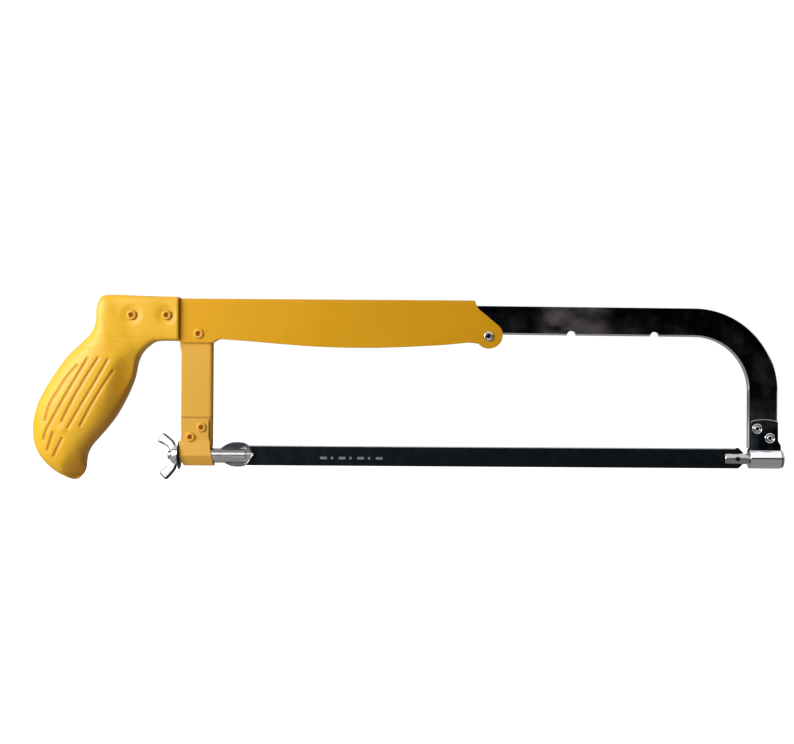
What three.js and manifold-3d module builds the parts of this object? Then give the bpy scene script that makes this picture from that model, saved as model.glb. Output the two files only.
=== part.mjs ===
// An adjustable hacksaw, in millimetres. X runs along the blade from the handle to the toe, Z is up and
// Y = 0 is the middle plane. Heights and stations are taken from the rear blade peg, on the tension rod's
// axis; the finished group is moved so that its origin is the middle of the base of its bounding box.

import * as THREE from "three";
import { mergeVertices } from "three/addons/utils/BufferGeometryUtils.js";
import Module from "manifold-3d";

const wasm = await Module();
wasm.setup();

// Driving dimensions
const PEG_SPAN = 301.4; // rear blade peg to front blade peg, blade taut
const BLADE_HOLES = 300; // a twelve inch blade, hole to hole
const NOTCH_PITCH = 50; // twelve, ten and eight inch blades
const NOTCHES = 3;
const THROUGH = 20; // holes across Y are cut this far each side of the middle plane
const ROUND = 14; // facets on small rounds

const BLADE_WIDTH = 11.8;
const BLADE_END = 4.9; // hole centre to the end of the blade
const BLADE_CORNER = 3;
const BLADE_THICK = 0.65;
const BLADE_HOLE_R = 2.2;
const NOSE_FACE_Y = -0.3; // flats of both noses, against the blade
const PEG_R = 1.3;
const PEG_TIP_Y = 1.35;
const PEG_BASE_Y = -3;
const PRESS_R = 1.5; // hole that a peg is pressed into

const CHANNEL = { half: 4, sheet: 1.2, top: 94.25, rear: -33.9, bottom: 67.8, bend: 2 };
const LOBE = { x: 151.9, z: 73.3, r: 7.9, from: 0.86, to: -2.45 }; // round front end, angles in radians
const LEG = {
  half: 2.5, sheet: 1.2, rear: -33, front: -14, shoulder: 0.9, foot: 6.2, head: 91,
  tongueEnd: -75, tongueZ: 78,
};
const BAR = { half: 2, width: 18.1, lean: THREE.MathUtils.degToRad(0.3), tail: 94, foot: 6.6, edge: 1.3 };
const BEND = { x: 274.9, inner: 32.6 };
const STOP = {
  x: 151.3, barBottom: 73.8, pinR: 1, gap: 0.2, notchR: 2.75,
  headR: 2.95, headThick: 0.75, dimpleR: 1.15, dimpleDepth: 0.5,
};
const ROD = { r: 4.2, tailR: 2.9, rear: -42, shoulder: -33.5, cut: -6.5, ridgeEnd: 6 };
const STRAP = { half: 4, sheet: 1.2, loopR: 6.1, top: 22.2, splay: 9, rear: -34, front: -13.2 };
const TUBE = { half: 3.2, sheet: 0.9, loopR: 5.85, top: 24, rear: 308.6, front: 327.3 };
const STUD = { headR: 5.4, shankR: 4.6, noseR: 3.3, tip: 293.9, neck: 309, face: 327.6, end: 329.1 };
const WASHER = { r: 8.5, boreR: 3.3, rear: -35.5, front: -34.3 };
const NUT = { hubR: 6, crownR: 4.6, boreR: 3.15, rear: -40.3, front: -35.8, wingHalf: 1.3 };

// Geometry helpers

const outlineBasis = new THREE.Matrix4().makeBasis(
  new THREE.Vector3(1, 0, 0), new THREE.Vector3(0, 0, 1), new THREE.Vector3(0, -1, 0));
const sectionBasis = new THREE.Matrix4().makeBasis(
  new THREE.Vector3(0, 1, 0), new THREE.Vector3(0, 0, 1), new THREE.Vector3(1, 0, 0));

function toSolid(geometry) {
  const bare = geometry.clone();
  bare.deleteAttribute("normal");
  bare.deleteAttribute("uv");
  const merged = mergeVertices(bare, 1e-5);
  return new wasm.Manifold(new wasm.Mesh({
    numProp: 3,
    vertProperties: new Float32Array(merged.attributes.position.array),
    triVerts: new Uint32Array(merged.index.array),
  }));
}

function toGeometry(solid) {
  const mesh = solid.getMesh();
  const geometry = new THREE.BufferGeometry();
  geometry.setAttribute("position", new THREE.BufferAttribute(mesh.vertProperties, 3));
  geometry.setIndex(new THREE.BufferAttribute(mesh.triVerts, 1));
  geometry.computeVertexNormals();
  return geometry;
}

// A side outline in X and Z, extruded across Y from yLow to yHigh.
function plate(shape, yLow, yHigh, options = {}) {
  const settings = { depth: yHigh - yLow, bevelEnabled: false, curveSegments: 8, ...options };
  const geometry = new THREE.ExtrudeGeometry(shape, settings);
  geometry.applyMatrix4(outlineBasis);
  geometry.translate(0, yHigh, 0);
  return geometry;
}

// A cross-section in Y and Z, extruded along X from xLow to xHigh.
function prism(shape, xLow, xHigh) {
  const geometry = new THREE.ExtrudeGeometry(shape, {
    depth: xHigh - xLow, bevelEnabled: false, curveSegments: 12,
  });
  geometry.applyMatrix4(sectionBasis);
  geometry.translate(xLow, 0, 0);
  return geometry;
}

// A turned piece about an axis along X through (0, 0); the profile lists [x, radius] pairs.
function turned(profile, segments = 24) {
  const points = profile.map(([x, r]) => new THREE.Vector2(r, x));
  const geometry = new THREE.LatheGeometry(points, segments);
  geometry.rotateZ(-Math.PI / 2);
  return geometry;
}

function acrossY(r, yLow, yHigh, x, z, segments = ROUND) {
  const geometry = new THREE.CylinderGeometry(r, r, yHigh - yLow, segments);
  geometry.translate(x, (yLow + yHigh) / 2, z);
  return geometry;
}

function alongX(r, xLow, xHigh, segments = 24) {
  const geometry = new THREE.CylinderGeometry(r, r, xHigh - xLow, segments);
  geometry.rotateZ(-Math.PI / 2);
  geometry.translate((xLow + xHigh) / 2, 0, 0);
  return geometry;
}

function block(x0, x1, y0, y1, z0, z1) {
  const geometry = new THREE.BoxGeometry(x1 - x0, y1 - y0, z1 - z0);
  geometry.translate((x0 + x1) / 2, (y0 + y1) / 2, (z0 + z1) / 2);
  return geometry;
}

function polygon(points) {
  return new THREE.Shape(points.map(([x, z]) => new THREE.Vector2(x, z)));
}

// Rivets: place, radii and how far out their heads start
const RIVETS = {
  handle_rivet_rear: { x: -62.2, z: 84, shank: 2, hole: 1.2, head: 3, seat: 8.05, thick: 0.9 },
  handle_rivet_front: { x: -41.3, z: 84.1, shank: 2, hole: 1.2, head: 3, seat: 7.9, thick: 0.9 },
  leg_rivet: { x: -22.7, z: 73.1, shank: 1.8, hole: 1.2, head: 3.3, seat: 4.2, thick: 0.8 },
  rear_bracket_rivet_upper: { x: -20.5, z: 17, shank: 1.7, hole: 1.1, head: 3, seat: 4.45, thick: 0.8 },
  rear_bracket_rivet_lower: { x: -27.2, z: 11.1, shank: 1.7, hole: 1.1, head: 3, seat: 4.45, thick: 0.8 },
  front_bracket_rivet_upper: { x: 312.9, z: 18.2, shank: 1.7, hole: 1, head: 3.15, seat: 3.45, thick: 0.7 },
  front_bracket_rivet_lower: { x: 320.5, z: 12.6, shank: 1.7, hole: 1, head: 3.15, seat: 3.45, thick: 0.7 },
};
const RIVET_CLEARANCE = 0.3;
const RIVET_CHAMFER = 0.4;

function drilled(solid, ...names) {
  return names.reduce((left, name) => {
    const { x, z, shank } = RIVETS[name];
    return left.subtract(toSolid(acrossY(shank + RIVET_CLEARANCE, -THROUGH, THROUGH, x, z)));
  }, solid);
}

// A hollow rivet: a tube across Y with a flat ring head turned over at each end.
function rivet({ x, z, shank, hole, head, seat, thick }) {
  const end = seat + thick;
  const rim = head - RIVET_CHAMFER;
  const shoulder = end - RIVET_CHAMFER;
  const profile = [
    [-end, hole], [-end, rim], [-shoulder, head], [-seat, head], [-seat, shank],
    [seat, shank], [seat, head], [shoulder, head], [end, rim], [end, hole], [-end, hole],
  ].map(([y, r]) => new THREE.Vector2(r, y));
  const geometry = new THREE.LatheGeometry(profile, ROUND);
  geometry.translate(x, 0, z);
  return geometry;
}

// Handle: cross-sections from the head to the butt. Each joins a point on the back to a point on the
// finger side, with its half width across Y and the squareness of its corners.
const HANDLE_SECTIONS = [
  { back: [-34.3, 95.2], front: [-34.3, 68.7], half: 7.6, square: 6 },
  { back: [-50, 95.5], front: [-47.5, 68.5], half: 7.6, square: 6 },
  { back: [-63, 95.9], front: [-53, 65.6], half: 7.6, square: 6 },
  { back: [-74, 96.2], front: [-57, 61.4], half: 7.8, square: 5.5 },
  { back: [-80.8, 95], front: [-59.3, 56.8], half: 8.8, square: 5 },
  { back: [-83.7, 88.5], front: [-60.4, 52], half: 9.6, square: 4.2 },
  { back: [-84.3, 79.6], front: [-61.3, 47], half: 10.6, square: 3.5 },
  { back: [-87.6, 72.8], front: [-62.8, 42.3], half: 11.6, square: 3 },
  { back: [-94.5, 65.8], front: [-65.3, 36.3], half: 12.8, square: 2.8 },
  { back: [-101.2, 59.3], front: [-69, 29], half: 13.8, square: 2.7 },
  { back: [-107.8, 50.1], front: [-73, 22.3], half: 14.3, square: 2.7 },
  { back: [-113.8, 40.7], front: [-78, 15.8], half: 14.4, square: 2.7 },
  { back: [-118.8, 30.5], front: [-83, 10], half: 14.2, square: 2.7 },
  { back: [-121.5, 19], front: [-87.2, 5], half: 13.8, square: 2.7 },
  { back: [-121.3, 9], front: [-89.4, 0.5], half: 13.2, square: 2.6 },
  { back: [-118.5, 1], front: [-90.1, -3.5], half: 12.2, square: 2.5 },
  { back: [-113.5, -5.5], front: [-90.3, -7.5], half: 10.6, square: 2.4 },
  { back: [-107.5, -10.5], front: [-91.4, -11], half: 8.2, square: 2.3 },
  { back: [-102, -13.4], front: [-93.8, -13.7], half: 4.8, square: 2.2 },
];
const HANDLE_BUTT = [-97.4, -14.9];
const HANDLE_RING = 24;
const SLOT_ROOM = 0.3;

function rounded(value, square) {
  return Math.sign(value) * Math.abs(value) ** (2 / square);
}

function handleLoft() {
  const positions = [];
  for (const { back, front, half, square } of HANDLE_SECTIONS) {
    for (let i = 0; i < HANDLE_RING; i += 1) {
      const angle = (2 * Math.PI * i) / HANDLE_RING;
      const along = (1 + rounded(Math.cos(angle), square)) / 2;
      const x = front[0] + (back[0] - front[0]) * along;
      const z = front[1] + (back[1] - front[1]) * along;
      positions.push(x, half * rounded(Math.sin(angle), square), z);
    }
  }
  const rows = HANDLE_SECTIONS.length;
  const first = rows * HANDLE_RING;
  const { back, front } = HANDLE_SECTIONS[0];
  positions.push((back[0] + front[0]) / 2, 0, (back[1] + front[1]) / 2);
  positions.push(HANDLE_BUTT[0], 0, HANDLE_BUTT[1]);
  const index = [];
  for (let i = 0; i < HANDLE_RING; i += 1) {
    const next = (i + 1) % HANDLE_RING;
    index.push(first, next, i);
    for (let row = 0; row < rows - 1; row += 1) {
      const low = row * HANDLE_RING;
      const high = low + HANDLE_RING;
      index.push(low + i, low + next, high + next, low + i, high + next, high + i);
    }
    const last = (rows - 1) * HANDLE_RING;
    index.push(last + i, last + next, first + 1);
  }
  const geometry = new THREE.BufferGeometry();
  geometry.setAttribute("position", new THREE.Float32BufferAttribute(positions, 3));
  geometry.setIndex(index);
  return geometry;
}

// The moulded grip, with a slot in its head for the leg's tongue.
function handle() {
  const slotFront = -30;
  const slot = block(LEG.tongueEnd - SLOT_ROOM, slotFront, -LEG.half - SLOT_ROOM, LEG.half + SLOT_ROOM,
    LEG.tongueZ - SLOT_ROOM, LEG.head + SLOT_ROOM);
  const body = toSolid(handleLoft()).subtract(toSolid(slot));
  return toGeometry(drilled(body, "handle_rivet_rear", "handle_rivet_front"));
}

// Back: sheet folded over the top, open below, with a round lobe at its front end for the stop pin.
function channelShape() {
  const { top, rear, bottom } = CHANNEL;
  const { x, z, r, from, to } = LOBE;
  const shape = new THREE.Shape();
  shape.moveTo(rear, top);
  shape.lineTo(142.8, top);
  shape.lineTo(144.6, 89.6);
  shape.lineTo(x + r * Math.cos(from), z + r * Math.sin(from));
  shape.absarc(x, z, r, from, to, true);
  shape.lineTo(140.3, 69);
  shape.splineThru([
    new THREE.Vector2(120, 67.1), new THREE.Vector2(82, 65.4), new THREE.Vector2(46, 66),
    new THREE.Vector2(8, 68.8), new THREE.Vector2(-8, 69.9),
  ]);
  shape.lineTo(-11.5, 69.7);
  shape.lineTo(-15.2, bottom);
  shape.lineTo(rear, bottom);
  shape.closePath();
  return shape;
}

function foldedTop(half, top, bend) {
  const shape = new THREE.Shape();
  shape.moveTo(-half, 0);
  shape.lineTo(half, 0);
  shape.lineTo(half, top - bend);
  shape.absarc(half - bend, top - bend, bend, 0, Math.PI / 2, false);
  shape.lineTo(-half + bend, top);
  shape.absarc(-half + bend, top - bend, bend, Math.PI / 2, Math.PI, false);
  shape.closePath();
  return shape;
}

function backChannel() {
  const { half, sheet, top, rear, bend } = CHANNEL;
  const skin = toSolid(plate(channelShape(), -half - 1, half + 1));
  const outside = toSolid(prism(foldedTop(half, top, bend), rear - 5, LOBE.x + 15));
  const inside = toSolid(prism(foldedTop(half - sheet, top - sheet, bend - sheet), rear - 10, LOBE.x + 20));
  const pin = toSolid(acrossY(STOP.pinR + RIVET_CLEARANCE, -THROUGH, THROUGH, STOP.x, stopPinHeight()));
  return toGeometry(drilled(skin.intersect(outside).subtract(inside).subtract(pin), "leg_rivet"));
}

// Rear leg: a folded channel, closed at the front, whose top runs back into the handle as a tongue.
function rearLeg() {
  const { half, sheet, rear, front, shoulder, foot, head, tongueEnd, tongueZ } = LEG;
  const side = polygon([
    [front, foot], [front, head], [tongueEnd, head], [tongueEnd, tongueZ],
    [rear - shoulder, tongueZ], [rear - shoulder, 67], [rear, 62.5], [rear, foot],
  ]);
  const hollow = block(tongueEnd - 10, front - sheet, -half + sheet, half - sheet, 0, 100);
  const body = toSolid(plate(side, -half, half)).subtract(toSolid(hollow));
  return toGeometry(drilled(body, "handle_rivet_rear", "handle_rivet_front", "leg_rivet",
    "rear_bracket_rivet_upper", "rear_bracket_rivet_lower"));
}

// The section of a strap folded round a loop, open at the top, in Y and Z. With a splay height the flats
// open out below it to meet the loop; without one they stay parallel and run into a round tube.
function loopSection({ half, sheet, loopR, top }, splay) {
  const innerR = loopR - sheet;
  const neckOuter = splay > 0 ? 0 : Math.acos(half / loopR);
  const neckInner = splay > 0 ? 0 : Math.acos((half - sheet) / innerR);
  const outerZ = splay > 0 ? splay : loopR * Math.sin(neckOuter);
  const innerZ = splay > 0 ? splay : innerR * Math.sin(neckInner);
  const shape = new THREE.Shape();
  shape.moveTo(half, top);
  shape.lineTo(half, outerZ);
  shape.absarc(0, 0, loopR, neckOuter, -Math.PI - neckOuter, true);
  shape.lineTo(-half, outerZ);
  shape.lineTo(-half, top);
  shape.lineTo(-half + sheet, top);
  shape.lineTo(-half + sheet, innerZ);
  shape.absarc(0, 0, innerR, -Math.PI - neckInner, neckInner, false);
  shape.lineTo(half - sheet, innerZ);
  shape.lineTo(half - sheet, top);
  shape.closePath();
  return shape;
}

function rearBracket() {
  const { rear, front, top, splay } = STRAP;
  const side = polygon([
    [rear, -10], [front, -10], [front, 4], [front - 1.8, 11], [front - 2.3, top - 0.6],
    [-24.6, top], [rear + 1, top - 0.6], [rear + 1.4, 10.4], [rear, 8.2],
  ]);
  const wrap = toSolid(prism(loopSection({ ...STRAP, top: top + 1 }, splay), rear - 5, front + 5));
  const body = wrap.intersect(toSolid(plate(side, -10, 10)));
  return toGeometry(drilled(body, "rear_bracket_rivet_upper", "rear_bracket_rivet_lower"));
}

function frontBracket() {
  const { rear, front, top } = TUBE;
  const side = polygon([
    [rear, -10], [front, -10], [front, 7.6], [325.6, 11], [325.4, top - 1.3], [317.7, top],
    [309.4, top - 1.3], [309.4, 6], [rear, 6],
  ]);
  const wrap = toSolid(prism(loopSection({ ...TUBE, top: top + 1 }, 0), rear - 5, front + 5));
  const body = wrap.intersect(toSolid(plate(side, -10, 10)));
  return toGeometry(drilled(body, "front_bracket_rivet_upper", "front_bracket_rivet_lower"));
}

// Height of the bar's lower edge at a station along X, on its slight lean down to the toe.
function barBottom(x) {
  return STOP.barBottom - (x - STOP.x) * Math.tan(BAR.lean);
}

function stopPinHeight() {
  return STOP.barBottom - STOP.gap - STOP.pinR;
}

function barShape() {
  const { lean, width, tail, foot } = BAR;
  const normal = [Math.sin(lean), Math.cos(lean)];
  const z = barBottom(BEND.x + BEND.inner * normal[0]) - BEND.inner * normal[1];
  const outer = BEND.inner + width;
  const shape = new THREE.Shape();
  shape.moveTo(tail, barBottom(tail));
  shape.lineTo(BEND.x + BEND.inner * normal[0], z + BEND.inner * normal[1]);
  shape.absarc(BEND.x, z, BEND.inner, Math.PI / 2 - lean, 0, true);
  shape.lineTo(BEND.x + BEND.inner, foot);
  shape.lineTo(BEND.x + outer, foot);
  shape.absarc(BEND.x, z, outer, 0, Math.PI / 2 - lean, false);
  shape.lineTo(tail + width * normal[0], barBottom(tail) + width * normal[1]);
  shape.closePath();
  return shape;
}

// Front bar: a flat bar with rounded edges, bent down at the toe, with three notches for the stop pin.
function frontBar() {
  const { half, edge } = BAR;
  const bevel = {
    curveSegments: 12, bevelEnabled: true, bevelSegments: 2,
    bevelThickness: edge, bevelSize: edge, bevelOffset: -edge,
  };
  let body = toSolid(plate(barShape(), -half + edge, half - edge, bevel));
  for (let i = 0; i < NOTCHES; i += 1) {
    const x = STOP.x + i * NOTCH_PITCH;
    body = body.subtract(toSolid(acrossY(STOP.notchR, -THROUGH, THROUGH, x, barBottom(x))));
  }
  return toGeometry(drilled(body, "front_bracket_rivet_upper", "front_bracket_rivet_lower"));
}

// Stop pin: a headed pin across the lobe, with a dimple in each head.
function stopPin() {
  const { pinR, headR, headThick, dimpleR, dimpleDepth } = STOP;
  const seat = CHANNEL.half + 0.25;
  const end = seat + headThick;
  const dimple = [[-end + dimpleDepth, 0], [-end + dimpleDepth, dimpleR - 0.25], [-end, dimpleR]];
  const near = [...dimple, [-end, headR - 0.35], [-end + 0.35, headR], [-seat, headR], [-seat, pinR]];
  const far = near.map(([y, r]) => [-y, r]).reverse();
  const profile = [...near, ...far].map(([y, r]) => new THREE.Vector2(r, y));
  const geometry = new THREE.LatheGeometry(profile, ROUND);
  geometry.translate(STOP.x, 0, stopPinHeight());
  return geometry;
}

// Front stud: a headed pin in the tube, with a half-round nose that lies against the blade.
function frontStud() {
  const { headR, shankR, noseR, tip, neck, face, end } = STUD;
  const body = toSolid(turned([
    [tip, 0], [tip, noseR - 0.5], [tip + 0.5, noseR], [neck, noseR], [neck, shankR], [face, shankR],
    [face, headR], [end - 0.5, headR], [end, headR - 0.8], [end, 0],
  ]));
  const flat = toSolid(block(tip - 5, neck, NOSE_FACE_Y, 10, -10, 10));
  const hole = toSolid(acrossY(PRESS_R, -THROUGH, THROUGH, PEG_SPAN, 0));
  return toGeometry(body.subtract(flat).subtract(hole));
}

// Tension rod: a threaded tail, a round shank, and a nose spread into two wings against the blade.
function tensionRod() {
  const { r, tailR, rear, shoulder, cut, ridgeEnd } = ROD;
  const body = toSolid(turned([
    [rear, 0], [rear, tailR - 0.6], [rear + 0.6, tailR], [shoulder, tailR], [shoulder, r],
    [ridgeEnd - 1.5, r], [ridgeEnd, r - 2], [ridgeEnd, 0],
  ]));
  const wing = [[-11, 3.6], [-8, 4.6], [-4.4, 6.8], [-0.5, 7.5], [3.4, 7.5], [6, 6.9], [7.3, 6.2]];
  const below = wing.map(([x, z]) => [x, -z]).reverse();
  const spread = toSolid(plate(polygon([...wing, [10.9, 0.2], [10.9, -0.2], ...below]), -2.3, NOSE_FACE_Y));
  const flat = toSolid(block(cut, 20, NOSE_FACE_Y, 10, -10, 10));
  const hole = toSolid(acrossY(PRESS_R, PEG_BASE_Y - RIVET_CLEARANCE, THROUGH, 0, 0));
  return toGeometry(body.add(spread).subtract(flat).subtract(hole));
}

function peg(x) {
  return acrossY(PEG_R, PEG_BASE_Y, PEG_TIP_Y, x, 0);
}

function washer() {
  const { r, boreR, rear, front } = WASHER;
  const ring = toSolid(alongX(r, rear, front, 32));
  return toGeometry(ring.subtract(toSolid(alongX(boreR, rear - 1, front + 1))));
}

function wingNut() {
  const { hubR, crownR, boreR, rear, front, wingHalf } = NUT;
  let body = toSolid(turned([[rear, 0], [rear, crownR], [rear + 1.2, 5.4], [front, hubR], [front, 0]]));
  const outline = [[-36.4, 3], [-36.3, 7.3], [-43.9, 13.8], [-46.8, 10], [-40.6, 4.6], [-39.6, 2]];
  for (const side of [1, -1]) {
    const wing = outline.map(([x, z]) => [x, z * side]);
    body = body.add(toSolid(plate(polygon(wing), -wingHalf, wingHalf)));
  }
  return toGeometry(body.subtract(toSolid(alongX(boreR, rear - 5, front + 5))));
}

// Blade: its holes sit off the pegs by the slack that the tension takes up.
function blade() {
  const rearHole = (PEG_SPAN - BLADE_HOLES) / 2;
  const frontHole = rearHole + BLADE_HOLES;
  const low = rearHole - BLADE_END;
  const high = frontHole + BLADE_END;
  const half = BLADE_WIDTH / 2;
  const corner = BLADE_CORNER;
  const shape = polygon([
    [low + corner, -half], [high - corner, -half], [high, -half + corner], [high, half - corner],
    [high - corner, half], [low + corner, half], [low, half - corner], [low, -half + corner],
  ]);
  for (const x of [rearHole, frontHole]) {
    const hole = new THREE.Path();
    hole.absarc(x, 0, BLADE_HOLE_R, 0, 2 * Math.PI, true);
    shape.holes.push(hole);
  }
  return plate(shape, 0, BLADE_THICK);
}

// Materials
const YELLOW_PLASTIC = { color: 0xf0ba38, roughness: 0.38, metalness: 0 };
const YELLOW_PAINT = { color: 0xe0a52c, roughness: 0.45, metalness: 0.1 };
const DARK_PLATE = { color: 0x14181c, roughness: 0.2, metalness: 0.9 };
const CHROME = { color: 0xd8dadc, roughness: 0.15, metalness: 1 };
const ZINC = { color: 0xb4b9bc, roughness: 0.3, metalness: 1 };
const DARK_STEEL = { color: 0x22262a, roughness: 0.5, metalness: 0.7 };
const BLADE_STEEL = { color: 0x1c262c, roughness: 0.4, metalness: 0.8 };

const saw = new THREE.Group();

function add(name, geometry, finish) {
  const mesh = new THREE.Mesh(geometry, new THREE.MeshStandardMaterial(finish));
  mesh.name = name;
  saw.add(mesh);
}

add("handle", handle(), YELLOW_PLASTIC);
add("back_channel", backChannel(), YELLOW_PAINT);
add("rear_leg", rearLeg(), YELLOW_PAINT);
add("rear_bracket", rearBracket(), YELLOW_PAINT);
for (const [name, sizes] of Object.entries(RIVETS)) {
  add(name, rivet(sizes), name.startsWith("front") ? CHROME : YELLOW_PAINT);
}
add("stop_pin", stopPin(), CHROME);
add("washer", washer(), DARK_STEEL);
add("front_bar", frontBar(), DARK_PLATE);
add("front_bracket", frontBracket(), DARK_PLATE);
add("front_stud", frontStud(), ZINC);
add("front_blade_peg", peg(PEG_SPAN), DARK_STEEL);
add("tension_rod", tensionRod(), ZINC);
add("rear_blade_peg", peg(0), DARK_STEEL);
add("wing_nut", wingNut(), CHROME);
add("blade", blade(), BLADE_STEEL);

// The origin is the middle of the base of the bounding box.
const bounds = new THREE.Box3().setFromObject(saw);
const middle = bounds.getCenter(new THREE.Vector3());
saw.position.set(-middle.x, -middle.y, -bounds.min.z);

export default saw;
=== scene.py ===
"""The looks of an adjustable hacksaw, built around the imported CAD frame.

Every piece is made in millimetres from the middle of the rear blade peg, on the tension rod's axis (the same
datum as the CAD source), and is then moved into the frame, in metres.
"""

import math

import bmesh
import bpy
import numpy as np
from mathutils import Matrix, Vector


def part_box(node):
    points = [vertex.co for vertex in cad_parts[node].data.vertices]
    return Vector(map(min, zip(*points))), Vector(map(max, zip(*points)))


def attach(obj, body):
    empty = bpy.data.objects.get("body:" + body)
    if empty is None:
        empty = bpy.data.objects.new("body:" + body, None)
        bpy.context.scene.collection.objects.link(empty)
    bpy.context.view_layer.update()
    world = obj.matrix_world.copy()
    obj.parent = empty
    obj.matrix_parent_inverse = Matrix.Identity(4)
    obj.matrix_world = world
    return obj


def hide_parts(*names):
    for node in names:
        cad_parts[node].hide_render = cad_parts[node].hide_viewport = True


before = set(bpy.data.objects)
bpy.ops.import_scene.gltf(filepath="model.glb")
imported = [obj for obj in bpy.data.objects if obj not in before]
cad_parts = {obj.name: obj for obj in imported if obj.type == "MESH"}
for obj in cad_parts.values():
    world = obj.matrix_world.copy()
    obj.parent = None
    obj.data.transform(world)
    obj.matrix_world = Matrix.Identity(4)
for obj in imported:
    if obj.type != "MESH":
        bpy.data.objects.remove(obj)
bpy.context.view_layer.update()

SCENE = bpy.context.scene
MM = 0.001

peg_low, peg_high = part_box("rear_blade_peg")
DATUM = Vector(((peg_low.x + peg_high.x) / 2, 0, (peg_low.z + peg_high.z) / 2))
TO_FRAME = Matrix.Translation(DATUM) @ Matrix.Scale(MM, 4)

# Sizes in millimetres
PEG_SPAN = 301.4
BLADE = {"low": -4.2, "high": 305.6, "half": 5.9, "crest": 6.5, "thick": 0.65, "corner": 3.0, "hole": 2.2}
BLADE_HOLES = (0.7, 300.7)
TOOTH_PITCH = 25.4 / 24
TOOTH_DEPTH = 1.0
SET_WIDTH = 0.16  # how far the teeth lean to each side
SET_WAVE = 9.5
SET_HEIGHT = 2.4
NOSE_FACE_Y = -0.3
LEAN = math.radians(0.3)
BAR = {"half": 2.0, "width": 18.1, "tail": 94.0, "foot": 6.6, "edge": 1.35}
BEND = {"x": 274.9, "inner": 32.6}
STOP_X = 151.3
STOP_BAR_Z = 73.8
STOP_PIN_Z = 72.6
NOTCH_PITCH = 50.0
NOTCH_R = 2.75
CHANNEL = {"half": 4.0, "sheet": 1.2, "top": 94.25, "rear": -33.9, "bottom": 67.8, "bend": 2.2}
REFLECTION_STRETCH = (70, 128)  # stretch of the bar that carries a brown painted reflection, from the frame's middle
LOBE = {"x": 151.9, "z": 73.3, "r": 7.9, "from": 0.86, "to": -2.45}

RIVET_AT = {
    "handle_rivet_rear": (-62.2, 84.0),
    "handle_rivet_front": (-41.3, 84.1),
    "leg_rivet": (-22.7, 73.1),
    "rear_bracket_rivet_upper": (-20.5, 17.0),
    "rear_bracket_rivet_lower": (-27.2, 11.1),
    "front_bracket_rivet_upper": (312.9, 18.2),
    "front_bracket_rivet_lower": (320.5, 12.6),
}
BRACKET_TOP = 22.6  # the middle of the rear bracket's upper edge

# Mesh helpers


def add_object(name, data):
    made = bpy.data.objects.new(name, data)
    SCENE.collection.objects.link(made)
    return made


def new_piece(name, verts, faces):
    mesh = bpy.data.meshes.new(name)
    mesh.from_pydata([tuple(map(float, v)) for v in verts], [], faces)
    piece = add_object(name, mesh)
    face_outward(mesh)
    return piece


def face_outward(mesh):
    shape = bmesh.new()
    shape.from_mesh(mesh)
    bmesh.ops.recalc_face_normals(shape, faces=shape.faces)
    shape.to_mesh(mesh)
    shape.free()
    mesh.update()


def loft(name, rings, closed=False):
    """Joins rings of equal size; a ring of one point closes that end, and a wider one is capped."""
    verts, index = [], []
    for ring in rings:
        index.append(list(range(len(verts), len(verts) + len(ring))))
        verts.extend(ring)
    pairs = list(zip(index, index[1:]))
    if closed:
        pairs.append((index[-1], index[0]))
    faces = []
    for a, b in pairs:
        size = max(len(a), len(b))
        for i in range(size):
            j = (i + 1) % size
            corners = [a[i % len(a)], a[j % len(a)], b[j % len(b)], b[i % len(b)]]
            faces.append(tuple(dict.fromkeys(corners)))
    if not closed:
        for ring in (index[0], index[-1]):
            if len(ring) > 1:
                faces.append(tuple(ring))
    return new_piece(name, verts, faces)


def prism(name, outline, low, high, axis="y"):
    """An outline in X and Z carried along Y, in Y and Z along X, or in X and Y along Z."""
    place = {
        "x": lambda a, b, level: (level, a, b),
        "y": lambda a, b, level: (a, level, b),
        "z": lambda a, b, level: (a, b, level),
    }[axis]
    return loft(name, [[place(a, b, level) for a, b in outline] for level in (low, high)])


def turned(name, profile, at=(0, 0, 0), axis="y", segments=64, closed=False):
    """A profile of (station, radius) pairs turned about an axis through a point."""
    rings = []
    for station, radius in profile:
        count = 1 if radius == 0 else segments
        ring = []
        for i in range(count):
            angle = 2 * math.pi * i / segments
            a, b = radius * math.cos(angle), radius * math.sin(angle)
            local = (station, a, b) if axis == "x" else (a, station, b)
            ring.append([local[k] + at[k] for k in range(3)])
        rings.append(ring)
    return loft(name, rings, closed)


def block(name, low, high):
    outline = [(low[0], low[2]), (high[0], low[2]), (high[0], high[2]), (low[0], high[2])]
    return prism(name, outline, low[1], high[1])


def rod_along_y(name, x, z, radius, low=-25, high=25, segments=48):
    return turned(name, [(low, 0), (low, radius), (high, radius), (high, 0)], (x, 0, z), segments=segments)


def rivet_bores(radius, *names):
    return [rod_along_y("bore", *RIVET_AT[name], radius) for name in names]


def settle(piece):
    """Applies the modifiers."""
    graph = bpy.context.evaluated_depsgraph_get()
    mesh = bpy.data.meshes.new_from_object(piece.evaluated_get(graph))
    piece.modifiers.clear()
    spent, piece.data = piece.data, mesh
    bpy.data.meshes.remove(spent)
    return piece


def combine(piece, tools, operation="DIFFERENCE"):
    for tool in tools:
        modifier = piece.modifiers.new("combine", "BOOLEAN")
        modifier.operation = operation
        modifier.solver = "EXACT"
        modifier.object = tool
    settle(piece)
    for tool in tools:
        bpy.data.objects.remove(tool)
    return piece


def merge(piece, others):
    """Puts the other meshes into the piece's own, overlapping."""
    shape = bmesh.new()
    for part in (piece, *others):
        shape.from_mesh(part.data)
    shape.to_mesh(piece.data)
    shape.free()
    for part in others:
        bpy.data.objects.remove(part)


def soften(piece, width, segments=3, angle=30):
    modifier = piece.modifiers.new("soften", "BEVEL")
    modifier.width = width
    modifier.segments = segments
    modifier.limit_method = "ANGLE"
    modifier.angle_limit = math.radians(angle)
    return settle(piece)


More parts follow.
